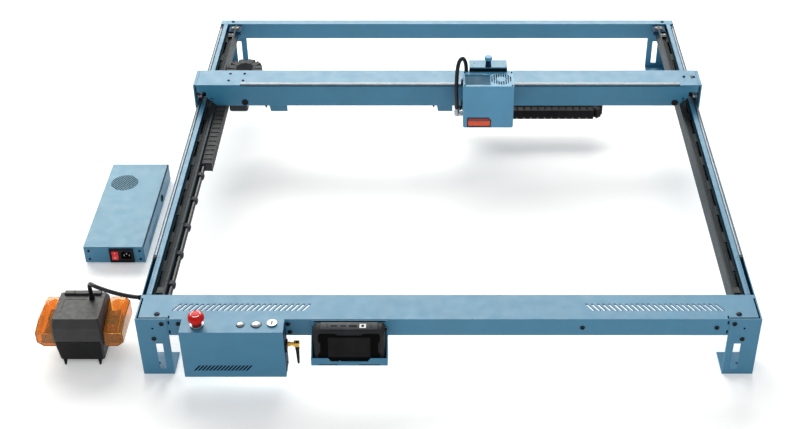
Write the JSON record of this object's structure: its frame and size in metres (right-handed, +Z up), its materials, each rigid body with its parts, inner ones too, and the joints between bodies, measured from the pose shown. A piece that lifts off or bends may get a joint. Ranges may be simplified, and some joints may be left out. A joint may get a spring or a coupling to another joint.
{
  "type": "desktop laser cutter",
  "caption": "Large-format gantry laser cutter: folded-sheet frame on legs, sliding gantry and laser carriage, control box, screen pad, power supply and air pump.",
  "frame": {"origin": "middle of the whole set's footprint, on the table surface", "axes": "+X to the operator's right along the front beam, +Y away from the operator along the side beams, +Z up"},
  "size_m": [1.3583, 1.2219, 0.2687],
  "materials": {
    "blue_paint": "satin powder coat",
    "black_plastic": "fine moulded texture",
    "black_rubber": "matte",
    "dark_anodised": "dark anodised",
    "steel": "ground",
    "bare_aluminium": "machined",
    "gold_plate": "plated",
    "red_plastic": "gloss",
    "amber_plastic": "translucent",
    "amber_window": "clear filter",
    "circuit_board": "solder mask"
  },
  "bodies": {
    "frame": {"front_beam": "blue_paint", "rear_beam": "blue_paint", "left_side_beam": "blue_paint", "right_side_beam": "blue_paint", "front_left_leg": "blue_paint", "front_right_leg": "blue_paint", "rear_left_leg": "blue_paint", "rear_right_leg": "blue_paint", "left_guide_shaft": "steel", "right_guide_shaft": "steel", "left_belt_tray": "dark_anodised", "right_belt_tray": "dark_anodised", "left_y_belt": "black_rubber", "right_y_belt": "black_rubber", "controller_housing": "blue_paint", "control_board": "circuit_board", "screen_holder": "blue_paint", "cable_conduit": "black_rubber", "y_chain": "black_plastic", "psu_cover": "blue_paint", "psu_base": "blue_paint", "psu_inlet": "black_plastic", "pump_body": "black_plastic", "pump_left_cover": "amber_plastic", "pump_right_cover": "amber_plastic", "air_hose": "black_rubber", "estop_base": "bare_aluminium", "key_lock_barrel": "bare_aluminium"},
    "gantry": {"gantry_beam": "blue_paint", "gantry_left_end_plate": "blue_paint", "gantry_right_end_plate": "blue_paint", "x_guide_shaft": "steel", "x_motor": "dark_anodised", "y_motor": "dark_anodised", "x_belt": "black_rubber", "x_chain": "black_plastic"},
    "carriage": {"carriage_plate": "black_plastic", "carriage_cap": "blue_paint"},
    "laser": {"laser_housing": "blue_paint", "heat_sink": "bare_aluminium", "laser_window": "amber_window", "module_hose": "black_rubber"},
    "laser_fan": {"laser_fan": "black_plastic"},
    "height_knob": {"height_knob": "blue_paint"},
    "estop": {"estop_head": "red_plastic"},
    "start_button": {"start_button": "bare_aluminium"},
    "pause_button": {"pause_button": "bare_aluminium"},
    "key": {"key_lock_core": "steel"},
    "antenna_base": {"antenna_elbow": "gold_plate"},
    "antenna_whip": {"antenna_whip": "black_plastic"},
    "screen_pad": {"screen_pad": "black_plastic"},
    "rocker": {"rocker_switch": "red_plastic"},
    "psu_fan": {"psu_fan": "black_plastic"},
    "drive_shaft": {"y_drive_shaft": "steel"},
    "x_motor_pulley": {"x_motor_pulley": "bare_aluminium"},
    "x_idler_pulley": {"x_idler_pulley": "bare_aluminium"},
    "front_left_roller": {"front_left_roller": "steel"},
    "front_right_roller": {"front_right_roller": "steel"},
    "rear_left_roller": {"rear_left_roller": "steel"},
    "rear_right_roller": {"rear_right_roller": "steel"}
  },
  "joints": [
    {"name": "gantry_slide", "type": "slide", "parent": "frame", "child": "gantry", "axis": [0, 1, 0], "range_m": [-0.585, 0.26], "deforming": ["y_chain"]},
    {"name": "carriage_slide", "type": "slide", "parent": "gantry", "child": "carriage", "axis": [1, 0, 0], "range_m": [-0.515, 0.375], "deforming": ["x_chain"]},
    {"name": "module_height", "type": "slide", "parent": "carriage", "child": "laser", "axis": [0, 0, 1], "range_m": [-0.05, 0.006]},
    {"name": "knob_turn", "type": "hinge", "parent": "carriage", "child": "height_knob", "pos_m": [0.193, 0.1906, 0], "axis": [0, 0, 1], "range_deg": [-2255, 275]},
    {"name": "estop_press", "type": "slide", "parent": "frame", "child": "estop", "axis": [0, 0, -1], "range_m": [0, 0.004]},
    {"name": "start_press", "type": "slide", "parent": "frame", "child": "start_button", "axis": [0, 0, -1], "range_m": [0, 0.0015], "stiffness_N_per_m": 300, "springref_m": -0.002},
    {"name": "pause_press", "type": "slide", "parent": "frame", "child": "pause_button", "axis": [0, 0, -1], "range_m": [0, 0.0015], "stiffness_N_per_m": 300, "springref_m": -0.002},
    {"name": "key_turn", "type": "hinge", "parent": "frame", "child": "key", "pos_m": [-0.2195, -0.575, 0.14], "axis": [0, 0, -1], "range_deg": [0, 90]},
    {"name": "antenna_swivel", "type": "hinge", "parent": "frame", "child": "antenna_base", "pos_m": [-0.1885, -0.58, 0.093], "axis": [1, 0, 0], "range_deg": [-180, 60]},
    {"name": "antenna_fold", "type": "hinge", "parent": "antenna_base", "child": "antenna_whip", "pos_m": [-0.1765, -0.58, 0.093], "axis": [0, -1, 0], "range_deg": [0, 20]},
    {"name": "pad_lift", "type": "slide", "parent": "frame", "child": "screen_pad", "axis": [0, 0.2588, 0.9659], "range_m": [0, 0.08]},
    {"name": "rocker_press", "type": "hinge", "parent": "frame", "child": "rocker", "pos_m": [-0.5936, -0.219, 0.0222], "axis": [1, 0, 0], "range_deg": [0, 12]},
    {"name": "psu_fan_spin", "type": "hinge", "parent": "frame", "child": "psu_fan", "pos_m": [-0.617, 0.0135, 0.03], "axis": [0, 0, 1], "continuous": true},
    {"name": "laser_fan_spin", "type": "hinge", "parent": "laser", "child": "laser_fan", "pos_m": [0.2212, 0.1505, 0.205], "axis": [0, 0, 1], "continuous": true},
    {"name": "drive_spin", "type": "hinge", "parent": "gantry", "child": "drive_shaft", "pos_m": [0.1015, 0.26, 0.138], "axis": [1, 0, 0], "range_deg": [-1026, 2301]},
    {"name": "x_motor_spin", "type": "hinge", "parent": "gantry", "child": "x_motor_pulley", "pos_m": [-0.383, 0.2355, 0.174], "axis": [0, 0, 1], "range_deg": [-3178, 2316]},
    {"name": "x_idler_spin", "type": "hinge", "parent": "gantry", "child": "x_idler_pulley", "pos_m": [0.645, 0.2355, 0.174], "axis": [0, 0, 1], "range_deg": [-3178, 2316]},
    {"name": "front_left_roll", "type": "hinge", "parent": "gantry", "child": "front_left_roller", "pos_m": [-0.4697, 0.222, 0.1433], "axis": [1, 0, 0], "range_deg": [-2134, 4794]},
    {"name": "front_right_roll", "type": "hinge", "parent": "gantry", "child": "front_right_roller", "pos_m": [0.6727, 0.222, 0.1433], "axis": [1, 0, 0], "range_deg": [-2134, 4794]},
    {"name": "rear_left_roll", "type": "hinge", "parent": "gantry", "child": "rear_left_roller", "pos_m": [-0.4697, 0.247, 0.1433], "axis": [1, 0, 0], "range_deg": [-2134, 4794]},
    {"name": "rear_right_roll", "type": "hinge", "parent": "gantry", "child": "rear_right_roller", "pos_m": [0.6727, 0.247, 0.1433], "axis": [1, 0, 0], "range_deg": [-2134, 4794]}
  ],
  "couplings": [
    {"joint": "knob_turn", "follows": "module_height", "rad_per_m": 785.4},
    {"joint": "drive_spin", "follows": "gantry_slide", "rad_per_m": -68.493},
    {"joint": "x_motor_spin", "follows": "carriage_slide", "rad_per_m": 107.53},
    {"joint": "x_idler_spin", "follows": "carriage_slide", "rad_per_m": 107.53},
    {"joint": "front_left_roll", "follows": "gantry_slide", "rad_per_m": -142.86},
    {"joint": "front_right_roll", "follows": "gantry_slide", "rad_per_m": -142.86},
    {"joint": "rear_left_roll", "follows": "gantry_slide", "rad_per_m": -142.86},
    {"joint": "rear_right_roll", "follows": "gantry_slide", "rad_per_m": -142.86}
  ]
}
